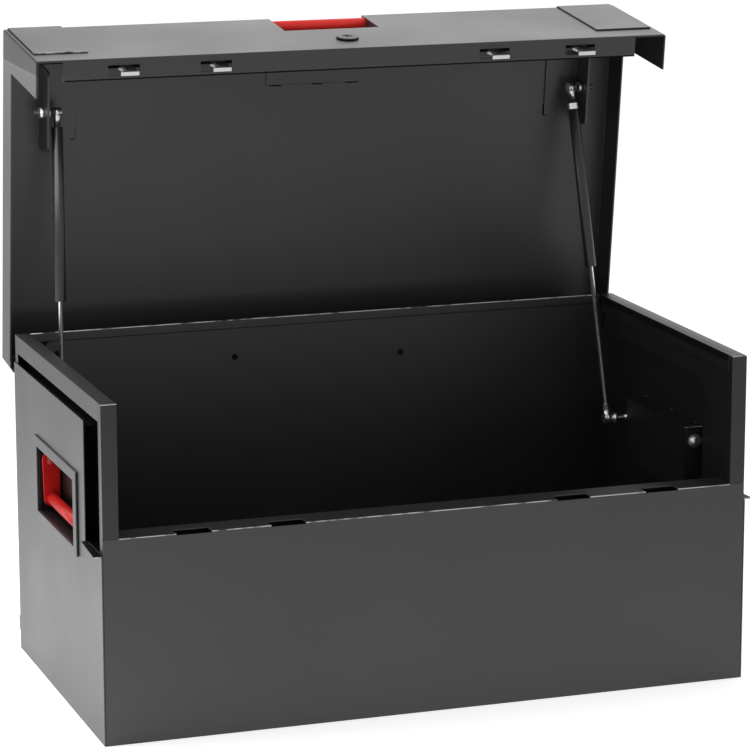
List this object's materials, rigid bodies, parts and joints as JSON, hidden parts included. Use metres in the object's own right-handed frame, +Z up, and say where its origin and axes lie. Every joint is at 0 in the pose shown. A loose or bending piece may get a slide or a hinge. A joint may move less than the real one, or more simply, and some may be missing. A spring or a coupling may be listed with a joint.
{
  "type": "jobsite storage box",
  "caption": "Lockable folded-steel site storage box with a gas-strut lid, hidden hook bar, side handles in recessed pockets and a hand recess in the lid.",
  "frame": {"origin": "centre of the underside of the base, on the floor", "axes": "+X to the right seen from the front, +Y to the rear, +Z up"},
  "size_m": [0.885, 0.5161, 0.8404],
  "materials": {
    "black_paint": "satin powder coat, charcoal",
    "red_paint": "semi-gloss red",
    "strut_paint": "smooth black paint",
    "polished_rod": "polished",
    "zinc": "bright zinc plate",
    "lock_steel": "satin"
  },
  "bodies": {
    "body": {"front_panel": "black_paint", "rear_wall": "black_paint", "floor_pan": "black_paint", "rear_lugs": "black_paint", "hinge_body_leaf": "black_paint", "hinge_pin": "zinc", "left_front_post": "black_paint", "left_side_wall": "black_paint", "left_side_panel": "black_paint", "left_rest_ledge": "black_paint", "left_handle_pocket": "black_paint", "left_pocket_frame": "black_paint", "left_handle_bolts": "zinc", "left_body_ball_stud": "zinc", "right_front_post": "black_paint", "right_side_wall": "black_paint", "right_side_panel": "black_paint", "right_rest_ledge": "black_paint", "right_handle_pocket": "black_paint", "right_pocket_frame": "black_paint", "right_handle_bolts": "zinc", "right_body_ball_stud": "zinc"},
    "lid": {"lid_shell": "black_paint", "left_lid_end_plate": "black_paint", "right_lid_end_plate": "black_paint", "lid_handle_tray": "black_paint", "lid_handle_grip": "red_paint", "hinge_lid_leaf": "black_paint", "lock_housing": "lock_steel", "hook_bar_guides": "black_paint", "left_strut_bracket": "black_paint", "right_strut_bracket": "black_paint", "left_lid_ball_stud": "zinc", "right_lid_ball_stud": "zinc"},
    "lock": {"lock_plug": "lock_steel", "lock_cam": "zinc"},
    "hook_slider": {"hook_bar": "black_paint", "lock_hooks": "zinc"},
    "left_handle": {"left_handle_arms": "red_paint", "left_handle_grip": "red_paint"},
    "left_strut_tube": {"left_strut_cylinder": "strut_paint", "left_strut_top_socket": "zinc"},
    "left_strut_shaft": {"left_strut_rod": "polished_rod", "left_strut_foot_socket": "zinc"},
    "right_handle": {"right_handle_arms": "red_paint", "right_handle_grip": "red_paint"},
    "right_strut_tube": {"right_strut_cylinder": "strut_paint", "right_strut_top_socket": "zinc"},
    "right_strut_shaft": {"right_strut_rod": "polished_rod", "right_strut_foot_socket": "zinc"}
  },
  "joints": [
    {"name": "lid_hinge", "type": "hinge", "parent": "body", "child": "lid", "pos_m": [0, 0.2253, 0.3805], "axis": [1, 0, 0], "range_deg": [0, 83.3]},
    {"name": "hook_slide", "type": "slide", "parent": "lid", "child": "hook_slider", "axis": [-1, 0, 0], "range_m": [0, 0.016]},
    {"name": "lock_turn", "type": "hinge", "parent": "lid", "child": "lock", "pos_m": [0, 0.11204, 0.8218], "axis": [0, 0.1167, -0.9932], "range_deg": [0, 90.01]},
    {"name": "left_handle_swing", "type": "hinge", "parent": "body", "child": "left_handle", "pos_m": [-0.4165, 0, 0.293], "axis": [0, 1, 0], "range_deg": [0, 90]},
    {"name": "left_strut_swing", "type": "hinge", "parent": "lid", "child": "left_strut_tube", "pos_m": [-0.366, 0.22575, 0.72813], "axis": [1, 0, 0], "range_deg": [-11.89, 0]},
    {"name": "left_rod_slide", "type": "slide", "parent": "left_strut_tube", "child": "left_strut_shaft", "axis": [0.0497, 0.1945, 0.9796], "range_m": [0, 0.16758]},
    {"name": "right_handle_swing", "type": "hinge", "parent": "body", "child": "right_handle", "pos_m": [0.4165, 0, 0.293], "axis": [0, -1, 0], "range_deg": [0, 90]},
    {"name": "right_strut_swing", "type": "hinge", "parent": "lid", "child": "right_strut_tube", "pos_m": [0.366, 0.22575, 0.72813], "axis": [1, 0, 0], "range_deg": [-11.89, 0]},
    {"name": "right_rod_slide", "type": "slide", "parent": "right_strut_tube", "child": "right_strut_shaft", "axis": [-0.0497, 0.1945, 0.9796], "range_m": [0, 0.16758]}
  ],
  "couplings": [
    {"joint": "lock_turn", "follows": "hook_slide", "rad_per_m": 98.175},
    {"joint": "left_strut_swing", "follows": "lid_hinge", "ratio": -0.14265},
    {"joint": "left_rod_slide", "follows": "lid_hinge", "m_per_rad": 0.1152},
    {"joint": "right_strut_swing", "follows": "lid_hinge", "ratio": -0.14265},
    {"joint": "right_rod_slide", "follows": "lid_hinge", "m_per_rad": 0.1152}
  ]
}
